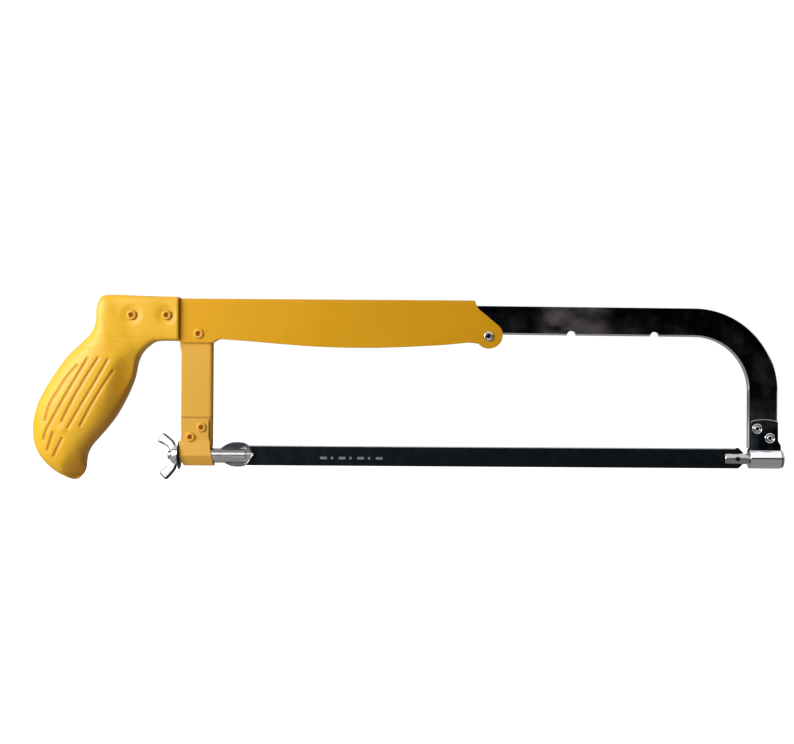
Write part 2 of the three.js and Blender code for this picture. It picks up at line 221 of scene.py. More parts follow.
def tidy_mesh(piece):
    shape = bmesh.new()
    shape.from_mesh(piece.data)
    bmesh.ops.remove_doubles(shape, verts=shape.verts, dist=1e-4)
    bmesh.ops.dissolve_degenerate(shape, edges=shape.edges, dist=1e-4)
    loose = [v for v in shape.verts if not v.link_faces]
    bmesh.ops.delete(shape, geom=loose, context="VERTS")
    shape.to_mesh(piece.data)
    shape.free()


def show(piece, body, nodes, slot, *materials, sharp=32, weighted=True):
    """Moves a finished piece into the frame, in place of its CAD nodes."""
    tidy_mesh(piece)
    piece.data.transform(TO_FRAME)
    for material in materials:
        piece.data.materials.append(material)
    piece.data.shade_smooth()
    piece.data.set_sharp_from_angle(angle=math.radians(sharp))
    if weighted:
        modifier = piece.modifiers.new("weighted", "WEIGHTED_NORMAL")
        modifier.keep_sharp = True
        settle(piece)
    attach(piece, body)
    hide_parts(*nodes)
    return piece


def arc(x, z, radius, start, end, count):
    angles = np.linspace(start, end, count)
    return [(x + radius * math.cos(a), z + radius * math.sin(a)) for a in angles]


def spline(points, step):
    """A smooth curve through the points, with about that distance between its own points."""
    points = np.asarray(points, float)
    padded = np.vstack([2 * points[0] - points[1], points, 2 * points[-1] - points[-2]])
    curve = []
    for i in range(len(points) - 1):
        p0, p1, p2, p3 = padded[i : i + 4]
        count = max(2, math.ceil(np.linalg.norm((p2 - p1)[:2]) / step))
        square, cube = 2 * p0 - 5 * p1 + 4 * p2 - p3, 3 * p1 - p0 - 3 * p2 + p3
        for t in np.arange(count) / count:
            curve.append(0.5 * (2 * p1 + (p2 - p0) * t + square * t**2 + cube * t**3))
    curve.append(points[-1])
    return np.array(curve)


def inset(outline, distance):
    """A closed outline moved inward by a distance."""
    loop = np.asarray(outline, float)
    steps = np.roll(loop, -1, 0) - np.roll(loop, 1, 0)
    steps /= np.linalg.norm(steps, axis=1)[:, None]
    x, z = loop.T
    turn = np.sign((x * np.roll(z, -1) - np.roll(x, -1) * z).sum())
    inward = turn * np.stack([-steps[:, 1], steps[:, 0]], 1)
    return [tuple(p) for p in loop + inward * distance]


def add_node(tree, kind, sockets=(), **settings):
    """A shader node whose sockets are each given a value, or the output to link."""
    made = tree.nodes.new(kind)
    for key, value in settings.items():
        setattr(made, key, value)
    for key, value in dict(sockets).items():
        socket = made.inputs[key]
        if isinstance(value, bpy.types.NodeSocket):
            tree.links.new(value, socket)
        elif socket.type == "RGBA":
            socket.default_value = (*value, 1)
        else:
            socket.default_value = value
    return made


# Materials


class Finish:
    """A Principled material with textures in object coordinates, in metres."""

    def __init__(self, name, **sockets):
        self.material = bpy.data.materials.new(name)
        self.material.use_nodes = True
        self.tree = self.material.node_tree
        self.surface = self.tree.nodes["Principled BSDF"]
        for key, value in sockets.items():
            self.surface.inputs[key.replace("_", " ")].default_value = value
        self.place = self.node("ShaderNodeTexCoord").outputs["Object"]

    def node(self, kind, sockets=(), **settings):
        return add_node(self.tree, kind, sockets, **settings)

    def link(self, source, socket):
        self.tree.links.new(source, socket)

    def stretched(self, scale):
        return self.node("ShaderNodeMapping", {"Scale": scale, "Vector": self.place}).outputs["Vector"]

    def noise(self, size_mm, detail=3.0, roughness=0.55, place=None):
        sockets = {"Scale": 1 / (size_mm * MM), "Detail": detail, "Roughness": roughness}
        return self.node("ShaderNodeTexNoise", {**sockets, "Vector": place or self.place}).outputs["Fac"]

    def ramp(self, value, *stops):
        made = self.node("ShaderNodeValToRGB", {"Fac": value})
        elements = made.color_ramp.elements
        while len(elements) < len(stops):
            elements.new(0.5)
        for element, (position, colour) in zip(elements, stops):
            element.position = position
            shade = colour if isinstance(colour, tuple) else (colour,) * 3
            element.color = (*shade, 1)
        return made.outputs["Color"]

    def mottle(self, size_mm, low, high, *noise):
        """Soft patches that run between two colours or two values."""
        return self.ramp(self.noise(size_mm, *noise), (0.3, low), (0.7, high))

    def blend(self, factor, a, b, kind="MIX"):
        sockets = {"Factor": factor, 6: a, 7: b}
        return self.node("ShaderNodeMix", sockets, data_type="RGBA", blend_type=kind).outputs[2]

    def math(self, operation, a, b=0.0):
        return self.node("ShaderNodeMath", {0: a, 1: b}, operation=operation).outputs[0]

    def band(self, value, low, high):
        """0 at low, 1 at high and smooth between."""
        sockets = {"From Min": low, "From Max": high, "Value": value}
        return self.node("ShaderNodeMapRange", sockets, interpolation_type="SMOOTHSTEP").outputs["Result"]

    def axis(self, letter):
        return self.node("ShaderNodeSeparateXYZ", {"Vector": self.place}).outputs[letter]

    def aside(self):
        """How far a point is from the middle plane."""
        return self.math("ABSOLUTE", self.axis("Y"))

    def bump(self, height, depth_mm, strength=1.0, under=None):
        sockets = {"Strength": strength, "Distance": depth_mm * MM, "Height": height}
        if under:
            sockets["Normal"] = under
        return self.node("ShaderNodeBump", sockets).outputs["Normal"]

    def wear(self, colour=None, roughness=None, normal=None):
        for value, name in ((colour, "Base Color"), (roughness, "Roughness"), (normal, "Normal")):
            if value:
                self.link(value, self.surface.inputs[name])
        return self.material


def yellow_moulding():
    finish = Finish("yellow_moulding", IOR=1.46)
    cloud = finish.mottle(26, (0.80, 0.440, 0.016), (0.86, 0.480, 0.024))
    speck = finish.ramp(finish.noise(1.6, 4), (0.28, 0.80), (0.36, 1.0))
    colour = finish.blend(0.5, cloud, speck, "MULTIPLY")
    # Painted shade: the attribute read here darkens the grooves and the finger-side flank toward a deep
    # orange, as the shade that falls there.
    depth = finish.node("ShaderNodeAttribute", attribute_name="recess_and_shade").outputs["Fac"]
    colour = finish.blend(finish.math("MULTIPLY", depth, 0.8), colour, (0.57, 0.20, 0.0))
    gloss = finish.mottle(9, 0.36, 0.48, 5, 0.65)
    grain = finish.bump(finish.noise(0.55, 2), 0.018, 0.7)
    parting = finish.band(finish.aside(), 0.35 * MM, 0.12 * MM)
    seam = finish.bump(parting, 0.08, 1.0, grain)
    return finish.wear(colour, gloss, seam)


def yellow_paint(name="yellow_paint", painted_sheen=0.0, shadow_line_at=None):
    """Textured paint, moved toward a paler, whiter yellow where the second argument is more than 0, as a
    painted sheen, with a painted shadow line along one height.
    """
    finish = Finish(name, IOR=1.36)
    shades = [(0.730, 0.350, 0.001), (0.780, 0.380, 0.003)]
    # Painted sheen: the paler, whiter yellow stands in for the key light's whitish reflection.
    sheen_yellow = (0.80, 0.46, 0.11)
    low, high = (tuple(c + (k - c) * painted_sheen for c, k in zip(shade, sheen_yellow)) for shade in shades)
    cloud = finish.mottle(38, low, high)
    speck = finish.ramp(finish.noise(0.9, 5, 0.7), (0.30, 0.72), (0.42, 1.0))
    colour = finish.blend(0.4, cloud, speck, "MULTIPLY")
    scuff = finish.ramp(finish.noise(3.5, 6, 0.75, finish.stretched((0.25, 1, 1))), (0.68, 0.0), (0.76, 1.0))
    colour = finish.blend(finish.math("MULTIPLY", scuff, 0.25), colour, (0.86, 0.58, 0.14))
    # Painted shadow: a dark line along one height, for the shade where a raised edge meets the face behind
    # it.
    if shadow_line_at:
        off = finish.math("ABSOLUTE", finish.math("SUBTRACT", finish.axis("Z"), DATUM.z + shadow_line_at * MM))
        shadow_line = finish.band(off, 0.75 * MM, 0.3 * MM)
        colour = finish.blend(finish.math("MULTIPLY", shadow_line, 0.6), colour, (0.36, 0.16, 0.02))
    gloss = finish.mottle(7, 0.38, 0.52, 5, 0.65)
    peel = finish.bump(finish.noise(0.75, 2), 0.035, 0.8)
    return finish.wear(colour, gloss, finish.bump(finish.noise(0.22, 1), 0.012, 0.6, peel))


def painted_reflection(finish, dark, grey, brown):
    """A chrome face painted dark as a painted dark reflection, in soft grey patches, with a brown painted
    reflection over one stretch: its colour and that reflection's strength.
    """
    cloud = finish.ramp(finish.noise(24, 4, 0.62), (0.46, dark), (0.66, grey))
    reflection_marks = finish.ramp(finish.noise(17, 4, 0.6, finish.stretched((0.8, 1, 1.6))), (0.34, 0.25), (0.60, 1.0))
    along = finish.axis("X")
    rising = finish.band(along, REFLECTION_STRETCH[0] * MM, (REFLECTION_STRETCH[0] + 18) * MM)
    falling = finish.band(along, REFLECTION_STRETCH[1] * MM, (REFLECTION_STRETCH[1] - 18) * MM)
    here = finish.math("MULTIPLY", rising, falling)
    reflection_film = finish.math("MULTIPLY", reflection_marks, here)
    return finish.blend(reflection_film, cloud, brown), reflection_film


def dark_plate(bright):
    """Chrome whose faces are painted dark, a painted dark reflection, and left bright chrome where bright()
    is 1.
    """
    finish = Finish("dark_plate", Metallic=1.0, IOR=1.6)
    colour, reflection_film = painted_reflection(finish, (0.010, 0.014, 0.020), (0.115, 0.130, 0.140), (0.150, 0.124, 0.128))
    shine = bright(finish)
    colour = finish.blend(shine, colour, (0.86, 0.87, 0.89))
    gloss = finish.mottle(11, 0.12, 0.26, 5, 0.7)
    gloss = finish.blend(reflection_film, gloss, (0.5,) * 3)
    scratch = finish.noise(0.35, 2, 0.6, finish.stretched((0.08, 1, 1)))
    return finish.wear(colour, finish.blend(shine, gloss, (0.09,) * 3), finish.bump(scratch, 0.004, 0.4))


# Where the bar keeps its bright chrome colour, free of the painted dark reflection: its rounded edges.
def bar_edges(finish):
    side = finish.aside()
    return finish.band(side, (BAR["half"] - 0.015) * MM, (BAR["half"] - 0.09) * MM)


# Where the bracket keeps its bright chrome colour, free of the painted dark reflection: along its top edge
# and over the round tube at its foot.
def bracket_edges(finish):
    side = finish.aside()
    height = finish.axis("Z")
    top = finish.band(height, DATUM.z + 21.0 * MM, DATUM.z + 22.0 * MM)
    rim = finish.math("MULTIPLY", finish.band(side, 3.19 * MM, 3.13 * MM), top)
    tube = finish.band(height, DATUM.z + 5.6 * MM, DATUM.z + 4.6 * MM)
    return finish.math("MAXIMUM", rim, tube)


def plated(name, base, rough, size_mm=6.0, grain=(1, 1, 1), depth_mm=0.006, shaded_within=None, dark_reflection=None):
    """Bright plating, painted near-black as painted shade within a distance of the middle plane, and painted
    near-black as a painted dark reflection where the named attribute is 1.
    """
    finish = Finish(name, Metallic=1.0)
    shades = [tuple(c * k for c in base) for k in (0.90, 1.0)]
    colour = finish.ramp(finish.noise(size_mm, 5, 0.7), (0.32, shades[0]), (0.62, shades[1]))
    if shaded_within:
        # Painted shade: near-black within that distance of the middle plane, at the head's foot against the
        # plate and down its hole.
        side = finish.aside()
        unshaded = finish.band(side, shaded_within * MM, (shaded_within + 0.25) * MM)
        colour = finish.blend(unshaded, (0.012, 0.012, 0.014), colour)
    # Painted dark reflection: near-black where the named attribute is 1.
    if dark_reflection:
        spent = finish.node("ShaderNodeAttribute", attribute_name=dark_reflection).outputs["Fac"]
        colour = finish.blend(spent, colour, (0.012, 0.013, 0.015))
    gloss = finish.mottle(size_mm * 0.6, rough * 0.75, rough * 1.35, 5, 0.7)
    lines = finish.noise(0.45, 3, 0.6, finish.stretched(grain))
    return finish.wear(colour, gloss, finish.bump(lines, depth_mm, 0.7))


# Painted reflections on the drawn rod, by height from its lower edge (0) to its upper one (1): greys, a white
# painted highlight line, and a dark top.
ROD_REFLECTIONS = [
    (0.0, (0.30, 0.32, 0.34)), (0.27, (0.34, 0.36, 0.38)), (0.30, (0.75, 0.77, 0.78)),
    (0.44, (0.78, 0.82, 0.81)), (0.56, (0.80, 0.83, 0.82)), (0.59, (0.98, 0.98, 0.98)),
    (0.63, (0.98, 0.98, 0.98)), (0.66, (0.22, 0.21, 0.21)), (0.80, (0.30, 0.29, 0.29)),
    (0.84, (0.13, 0.15, 0.17)), (1.0, (0.16, 0.18, 0.21)),
]


def drawn_steel():
    """The tension rod: painted reflections by height, with a white painted highlight line, darker drawing
    marks along it, and its spread end painted dark beyond the round as a painted dark reflection.
    """
    finish = Finish("drawn_steel", Metallic=1.0)
    wander = finish.math("MULTIPLY", finish.noise(2.2, 3, 0.6, finish.stretched((0.12, 1, 1))), 1.1 * MM)
    level = finish.math("ADD", finish.math("SUBTRACT", finish.axis("Z"), DATUM.z), wander)
    span = finish.node("ShaderNodeMapRange", {"From Min": -8 * MM, "From Max": 8 * MM, "Value": level})
    shade = finish.ramp(span.outputs["Result"], *ROD_REFLECTIONS)
    streaks = finish.ramp(finish.noise(0.9, 4, 0.7, finish.stretched((0.06, 1, 1))), (0.35, 0.62), (0.6, 1.0))
    gloss = finish.mottle(3, 0.16, 0.30, 4, 0.7)
    lines = finish.noise(0.5, 3, 0.6, finish.stretched((0.06, 1, 1)))
    return finish.wear(finish.blend(1.0, shade, streaks, "MULTIPLY"), gloss, finish.bump(lines, 0.010, 0.8))


def blackened(name, base, metal, rough):
    finish = Finish(name, Metallic=metal)
    shades = [tuple(c * k for c in base) for k in (0.7, 1.5)]
    colour = finish.ramp(finish.noise(7, 6, 0.7), (0.35, shades[0]), (0.7, shades[1]))
    gloss = finish.mottle(4, rough * 0.85, rough * 1.25, 4, 0.7)
    lines = finish.noise(0.5, 3, 0.65, finish.stretched((0.06, 1, 1)))
    return finish.wear(colour, gloss, finish.bump(lines, 0.008, 0.8))


def printed_grey():
    finish = Finish("printed_grey")
    colour = finish.ramp(finish.noise(0.8, 4, 0.7), (0.3, 0.10), (0.6, 0.30))
    gloss = finish.mottle(2, 0.45, 0.6, 2)
    return finish.wear(colour, gloss)


MOULDING = yellow_moulding()
PAINT = yellow_paint()
# Painted sheen and painted shadow: a paler, whiter tint for the key light's sheen, and a dark line at the
# rear bracket's top edge for the shade where it meets the leg.
LEG_PAINT = yellow_paint("leg_paint", 0.5, BRACKET_TOP + 0.2)
# Painted sheen: the rivet heads are paler by the same whiter tint.
RIVET_PAINT = yellow_paint("painted_rivet", 0.4)
# Painted dark reflection on the bar's and the front bracket's chrome faces, and a brown painted reflection on
# the bar.
BAR_PLATE = dark_plate(bar_edges)
BRACKET_PLATE = dark_plate(bracket_edges)
# Painted shade at the rivet heads' feet and in their holes, and at the stop pin's foot and in its dimple.
RIVET_CHROME = plated("rivet_plate", (0.84, 0.85, 0.87), 0.14, shaded_within=3.45)
PIN_CHROME = plated("pin_plate", (0.84, 0.85, 0.87), 0.14, shaded_within=4.35)
# Painted dark reflection along the wing nut's rims and outer edges.
CAST = plated("cast_plate", (0.84, 0.85, 0.86), 0.20, 5.0, dark_reflection="edge")
ROD_STEEL = drawn_steel()
ZINC = plated("zinc_plate", (0.50, 0.51, 0.52), 0.18, 5.0, (0.08, 1, 1), 0.008)
DARK_STEEL = blackened("dark_steel", (0.030, 0.032, 0.035), 0.8, 0.45)
BLADE_STEEL = blackened("blade_steel", (0.010, 0.014, 0.018), 0.8, 0.34)
PRINT = printed_grey()

# Handle: each section joins a point on the back to one on the finger side (x, z, x, z), then gives its half
# width across Y and the squareness of its corners
HANDLE_SECTIONS = [
    (-34.3, 95.2, -34.3, 68.7, 7.6, 6),
    (-50, 95.5, -47.5, 68.5, 7.6, 6),
    (-63, 95.9, -53, 65.6, 7.6, 6),
    (-74, 96.2, -57, 61.4, 7.8, 5.5),
    (-80.8, 95, -59.3, 56.8, 8.8, 5),
    (-83.7, 88.5, -60.4, 52, 9.6, 4.2),
    (-84.3, 79.6, -61.3, 47, 10.6, 3.5),
    (-87.6, 72.8, -62.8, 42.3, 11.6, 3),
    (-94.5, 65.8, -65.3, 36.3, 12.8, 2.8),
    (-101.2, 59.3, -69, 29, 13.8, 2.7),
    (-107.8, 50.1, -73, 22.3, 14.3, 2.7),
    (-113.8, 40.7, -78, 15.8, 14.4, 2.7),
    (-118.8, 30.5, -83, 10, 14.2, 2.7),
    (-121.5, 19, -87.2, 5, 13.8, 2.7),
    (-121.3, 9, -89.4, 0.5, 13.2, 2.6),
    (-118.5, 1, -90.1, -3.5, 12.2, 2.5),
    (-113.5, -5.5, -90.3, -7.5, 10.6, 2.4),
    (-107.5, -10.5, -91.4, -11, 8.2, 2.3),
    (-102, -13.4, -93.8, -13.7, 4.8, 2.2),
]
HANDLE_BUTT = np.array([-97.4, 0, -14.9])
HANDLE_STEP = 0.5
HANDLE_RING = 224
HEAD_ROUND = 0.9  # how far the head's end is rounded over
GROOVE_SIDES = (1.05, 1.7)  # the widths of a groove's steep and shallow sides
GROOVES = [
    [(-93.6, 53.7), (-99.5, 46.6), (-105.3, 37.7), (-110.0, 29.4), (-112.1, 21.1)],
    [
        (-87.4, 57.6), (-92.8, 47.9), (-98.4, 38.3), (-103.9, 28.4), (-108.5, 20.2), (-112.0, 13.6),
        (-112.8, 9.8),
    ],
    [(-81.2, 58.0), (-88.2, 46.1), (-95.3, 33.6), (-101.7, 20.8)],
    [(-75.5, 56.9), (-82.9, 43.1), (-89.9, 31.2), (-98.1, 17.0)],
    [(-72.4, 50.6), (-78.7, 40.3), (-85.2, 29.0), (-91.0, 18.0)],
    [(-107.2, 13.5), (-110.8, 3.3)],
    [(-101.8, 10.2), (-107.1, -0.2)],
]
CREASES = [
    [(-89.4, 71.5), (-83.7, 71.1), (-55.7, 69.4)],
    [(-91.3, 65.2), (-86.0, 64.5), (-75.4, 62.8), (-65.8, 61.6)],
]
FLANK = [
    (-33.2, 68.7), (-47.7, 68.6), (-54.9, 66.4), (-63.3, 63.1), (-69.3, 58.8), (-72.6, 54), (-74.4, 47.3),
    (-77.6, 37.7), (-82.3, 26.8), (-88.3, 15.9), (-94.3, 8), (-99, 1.4), (-102.6, -5.3), (-104.4, -13.1),
    (-104.9, -21.5),
]
FLANK_SLOPE = 0.64
BOSS = (-101.4, 15.8)


def signed_power(value, square):
    return np.sign(value) * np.abs(value) ** (2 / square)


def handle_ring(section):
    """One cross-section, its points evenly spaced round it."""
    bx, bz, fx, fz, half, square = section
    angle = np.linspace(0, 2 * math.pi, 1441)
    along = (1 + signed_power(np.cos(angle), square)) / 2
    side = half * signed_power(np.sin(angle), square)
    ring = np.stack([fx + (bx - fx) * along, side, fz + (bz - fz) * along], 1)
    walked = np.concatenate([[0], np.cumsum(np.linalg.norm(np.diff(ring, axis=0), axis=1))])
    even = np.linspace(0, walked[-1], HANDLE_RING, endpoint=False)
    return np.stack([np.interp(even, walked, ring[:, k]) for k in range(3)], 1)


def handle_grid():
    sections = spline(HANDLE_SECTIONS, HANDLE_STEP)
    rings = [handle_ring(section) for section in sections]
    end = rings[0]
    middle = end.mean(0)
    rounding = []
    for t in (0.0, 0.25, 0.5, 0.75):
        angle = t * math.pi / 2
        shrink = HEAD_ROUND * (1 - math.sin(angle))
        size = np.abs(end - middle).max(0)
        size[0] = 1
        ring = middle + (end - middle) * (1 - shrink / size)
        ring[:, 0] = end[0, 0] - HEAD_ROUND * (1 - math.cos(angle))
        rounding.append(ring)
    inside = [ring for ring in rings if ring[:, 0].max() < end[0, 0] - HEAD_ROUND]
    last = inside[-1]
    centre = last.mean(0)
    dome = []
    for t in np.linspace(0, 1, 14)[1:-1]:
        rise = (HANDLE_BUTT - centre) * (1 - (1 - t) ** 2)
        dome.append(centre + rise + (last - centre) * (1 - t))
    return np.array(rounding + inside + dome)


def to_line(points, line):
    """How far each (x, z) point is from a line of straight parts: to its right, and past its ends."""
    best = np.full(len(points), 1e9)
    aside = np.zeros(len(points))
    past = np.zeros(len(points))
    for a, b in zip(np.asarray(line[:-1], float), np.asarray(line[1:], float)):
        d = (b - a) / np.linalg.norm(b - a)
        t = np.clip((points - a) @ d, 0, np.linalg.norm(b - a))
        off = points - a - t[:, None] * d
        gap = np.linalg.norm(off, axis=1)
        nearer = gap < best
        best = np.where(nearer, gap, best)
        aside = np.where(nearer, d[1] * off[:, 0] - d[0] * off[:, 1], aside)
        past = np.where(nearer, off @ d, past)
    return aside, past


def hollow(gap, reach):
    return np.clip(1 - (gap / reach) ** 2, 0, None) ** 2


def groove(points, line, steep, shallow):
    """1 along the line, falling to 0 within steep on its right, shallow on its left and past its ends."""
    aside, past = to_line(points, line)
    return hollow(aside, np.where(aside > 0, steep, shallow)) * hollow(past, 1.6)


def handle():
    grid = handle_grid()
    rows, count = grid.shape[:2]
    flat = grid.reshape(-1, 3).copy()
    xz = flat[:, [0, 2]]

    aside, past = to_line(xz, FLANK)
    beyond = np.sign(-aside) * np.hypot(aside, past)
    grip = np.clip((-44 - flat[:, 0]) / 30, 0, 1)
    grip = grip * grip * (3 - 2 * grip)
    half = np.repeat(np.abs(grid[:, :, 1]).max(1), count)
    limit = half + 0.4 - FLANK_SLOPE * beyond * grip
    side = np.abs(flat[:, 1])
    soft = 0.7
    eased = -soft * np.log(np.exp(-side / soft) + np.exp(-np.clip(limit, 0.5, None) / soft))
    flat[:, 1] = np.sign(flat[:, 1]) * np.clip(eased, 0, side)

    shaped = flat.reshape(rows, count, 3)
    down = np.gradient(shaped, axis=0)
    around = np.roll(shaped, -1, 1) - np.roll(shaped, 1, 1)
    normal = np.cross(around, down).reshape(-1, 3)
    normal /= np.linalg.norm(normal, axis=1)[:, None] + 1e-12
    outward = flat - np.repeat(shaped.mean(1), count, axis=0)
    normal *= np.sign((normal * outward).sum(1))[:, None]
    facing = np.clip((np.abs(normal[:, 1]) - 0.3) / 0.35, 0, 1)

    recess_and_shade = np.zeros(len(flat))
    for line in GROOVES:
        recess_and_shade = np.maximum(recess_and_shade, groove(xz, spline(line, 1.5), *GROOVE_SIDES))
    crease = np.zeros(len(flat))
    for line in CREASES:
        crease = np.maximum(crease, groove(xz, line, 1.0, 1.0))
    heads = [RIVET_AT["handle_rivet_rear"], RIVET_AT["handle_rivet_front"]]
    dish = sum(hollow(np.linalg.norm(xz - np.array(p), axis=1), 7.5) for p in heads)
    boss = hollow(np.linalg.norm(xz - np.array(BOSS), axis=1), 3.6)
    depths = ((recess_and_shade, -0.62), (crease, -0.16), (dish, -1.1), (boss, 0.45))
    offset = sum(depth * shape for shape, depth in depths)
    flat += normal * (offset * facing)[:, None]

    piece = loft("handle_fine", list(flat.reshape(rows, count, 3)) + [[HANDLE_BUTT]])
    # Painted shade for the moulding: the grooves, and the flank beyond the FLANK line, as far as each is
    # darkened.
    mark = piece.data.attributes.new("recess_and_shade", "FLOAT", "POINT")
    shaded = np.clip(recess_and_shade * facing + 0.8 * grip * np.clip(beyond / 9, 0, 1), 0, 1)
    values = np.append(shaded, 0.0).astype(np.float32)
    mark.data.foreach_set("value", values)
    slot = block("slot", (-75.3, -2.8, 77.7), (-30, 2.8, 91.3))
    combine(piece, [slot, *rivet_bores(2.3, "handle_rivet_rear", "handle_rivet_front")])
    return show(piece, "rear_frame", ["handle"], "yellow_moulding", MOULDING, sharp=48, weighted=False)


# Pressed yellow sheet


def u_section(half, top, bend, bottom):
    """A folded section, closed at the top, in Y and Z."""
    left = arc(-half + bend, top - bend, bend, math.pi, math.pi / 2, 12)
    rightward = arc(half - bend, top - bend, bend, math.pi / 2, 0, 12)
    return [(-half, bottom), *left, *rightward, (half, bottom)]


def back_outline():
    lobe = arc(LOBE["x"], LOBE["z"], LOBE["r"], LOBE["from"], LOBE["to"], 64)
    belly = spline([(140.3, 69), (120, 67.1), (82, 65.4), (46, 66), (8, 68.8), (-8, 69.9)], 2.5)
    front = [(CHANNEL["rear"], CHANNEL["top"] + 1), (143.1, CHANNEL["top"] + 1), (143.3, 93.2), (144.9, 89.3)]
    toe = [(-10.2, 69.95), (-11.8, 69.5), (-13.6, 68.3), (-15.2, CHANNEL["bottom"])]
    return [*front, *lobe, *map(tuple, belly), *toe, (CHANNEL["rear"], CHANNEL["bottom"])]


def back_channel():
    half, sheet, top, bend = (CHANNEL[k] for k in ("half", "sheet", "top", "bend"))
    outer = u_section(half, top, bend, 50)
    inner = u_section(half - sheet, top - sheet, bend - sheet, 50)
    piece = prism("back_channel_fine", outer + inner[::-1], -60, 180, "x")
    combine(piece, [prism("side", back_outline(), -9, 9)], "INTERSECT")
    combine(piece, [rod_along_y("bore", STOP_X, STOP_PIN_Z, 1.3), *rivet_bores(2.1, "leg_rivet")])
    soften(piece, 0.22)
    return show(piece, "rear_frame", ["back_channel"], "yellow_paint", PAINT)


def rear_leg():
    half, sheet, front, bend = 2.5, 1.2, -14.0, 2.3
    outer = [(-90, -half), *arc(front - bend, -half + bend, bend, -math.pi / 2, 0, 12)]
    outer += [*arc(front - bend, half - bend, bend, 0, math.pi / 2, 12), (-90, half)]
    room, turn = half - sheet, bend - sheet
    inner = [(-90, room), *arc(front - bend, room - turn, turn, math.pi / 2, 0, 8)]
    inner += [*arc(front - bend, -room + turn, turn, 0, -math.pi / 2, 8), (-90, -room)]
    piece = prism("rear_leg_fine", outer + inner, 0, 100, "z")
    side = [
        (-10, 5.1), (-10, 91), (-75, 91), (-75, 78), (-33.9, 78), (-33.9, 67), (-33.8, 65.2), (-33.5, 63.6),
        (-33.1, 62.2), (-33, 60.8), (-33, 5.1),
    ]
    combine(piece, [prism("side", side, -9, 9)], "INTERSECT")
    combine(piece, rivet_bores(2.2, *(name for name in RIVET_AT if not name.startswith("front"))))
    soften(piece, 0.18)
    return show(piece, "rear_frame", ["rear_leg"], "yellow_paint", LEG_PAINT)


def offset_path(path, distance):
    """The path moved to its left by a distance, mitred at its corners."""
    path = np.asarray(path, float)
    steps = np.diff(path, axis=0)
    steps /= np.linalg.norm(steps, axis=1)[:, None]
    lefts = np.stack([-steps[:, 1], steps[:, 0]], 1)
    moved = [path[0] + lefts[0] * distance]
    for i in range(1, len(path) - 1):
        middle = lefts[i - 1] + lefts[i]
        middle /= np.linalg.norm(middle)
        moved.append(path[i] + middle * distance / (middle @ lefts[i]))
    moved.append(path[-1] + lefts[-1] * distance)
    return [tuple(p) for p in moved]


def strap(name, path, sheet, side, edge):
    """A strap folded along a path in Y and Z, cut to a side outline in X and Z and bored across."""
    xs = [x for x, _ in side]
    section = list(path) + offset_path(path, sheet)[::-1]
    piece = prism(f"{name}_fine", section, min(xs) - 4, max(xs) + 4, "x")
    combine(piece, [prism("side", side, -12, 12)], "INTERSECT")
    combine(piece, rivet_bores(2.0, f"{name}_rivet_upper", f"{name}_rivet_lower"))
    return soften(piece, edge)


def rear_bracket():
    fold = [
        (-4, 26), (-4, 10), (-4.25, 8.4), (-6.0, 0.9), (-6.1, 0.2), (-5.95, -0.5), (-3.5, -5.3), (-2.9, -5.9),
        (-2.2, -6.1),
    ]
    path = fold + [(-y, z) for y, z in reversed(fold)]
    side = [
        (-30.9, -10), (-12.6, -10), (-13.3, -6), (-15.1, 3.4), (-15.4, 8.4), (-16.1, 10.2), (-16.3, 12),
        (-16.3, 21.2),
        *map(tuple, spline([(-17.0, 21.9), (-24.6, BRACKET_TOP), (-32.2, 22)], 1.5)),
        (-32.9, 21.2), (-32.6, 11.6), (-33.1, 9.4), (-33.8, 7.8), (-33.8, 1.5), (-33.1, -2.3), (-31.4, -5.6),
    ]
    piece = strap("rear_bracket", path, 1.2, side, 0.5)
    return show(piece, "rear_frame", ["rear_bracket"], "yellow_paint", LEG_PAINT, sharp=40)


def front_bracket():
    half, radius = 3.2, 5.85
    neck = math.acos(half / radius)
    loop = arc(0, 0, radius, math.pi - neck, 2 * math.pi + neck, 64)
    path = [(-half, 30), *loop, (half, 30)]
    side = [
        (308.6, -10), (327.3, -10), (327.3, 7.6), (327.1, 8.6), (325.8, 10.6), (325.6, 11.6),
        *map(tuple, spline([(325.5, 22.4), (323, 23.3), (317.7, 23.9), (312.4, 23.5), (309.4, 22.8)], 1)),
        (309.4, 6.4), (309.2, 6), (308.6, 5.8),
    ]
    piece = strap("front_bracket", path, 0.9, side, 0.32)
    return show(piece, "front_frame", ["front_bracket"], "dark_plate", BRACKET_PLATE)


# Front bar


def bar_bottom(x):
    return STOP_BAR_Z - (x - STOP_X) * math.tan(LEAN)


def bar_stations():
    """Points along the bar's inner edge, each with the direction to its outer edge."""
    up = np.array([math.sin(LEAN), math.cos(LEAN)])
    x = BEND["x"]
    z = bar_bottom(x + BEND["inner"] * up[0]) - BEND["inner"] * up[1]
    centre = np.array([x, z])
    start = centre + BEND["inner"] * up
    tail = np.array([BAR["tail"], bar_bottom(BAR["tail"])])
    stations = [(tail + (start - tail) * t, up) for t in np.linspace(0, 1, 25)[:-1]]
    for angle in np.linspace(math.pi / 2 - LEAN, 0, 73):
        out = np.array([math.cos(angle), math.sin(angle)])
        stations.append((centre + BEND["inner"] * out, out))
    foot = np.array([x + BEND["inner"], BAR["foot"]])
    last = stations[-1][0]
    stations += [(last + (foot - last) * t, np.array([1.0, 0.0])) for t in np.linspace(0, 1, 9)[1:]]
    return stations


def bar_section():
    half, width, edge = BAR["half"], BAR["width"], BAR["edge"]
    corners = []
    far, side = width - edge, half - edge
    turns = [(far, side), (edge, side), (edge, -side), (far, -side)]
    for quarter, (t, y) in enumerate(turns):
        corners += arc(t, y, edge, quarter * math.pi / 2, (quarter + 1) * math.pi / 2, 9)
    return corners


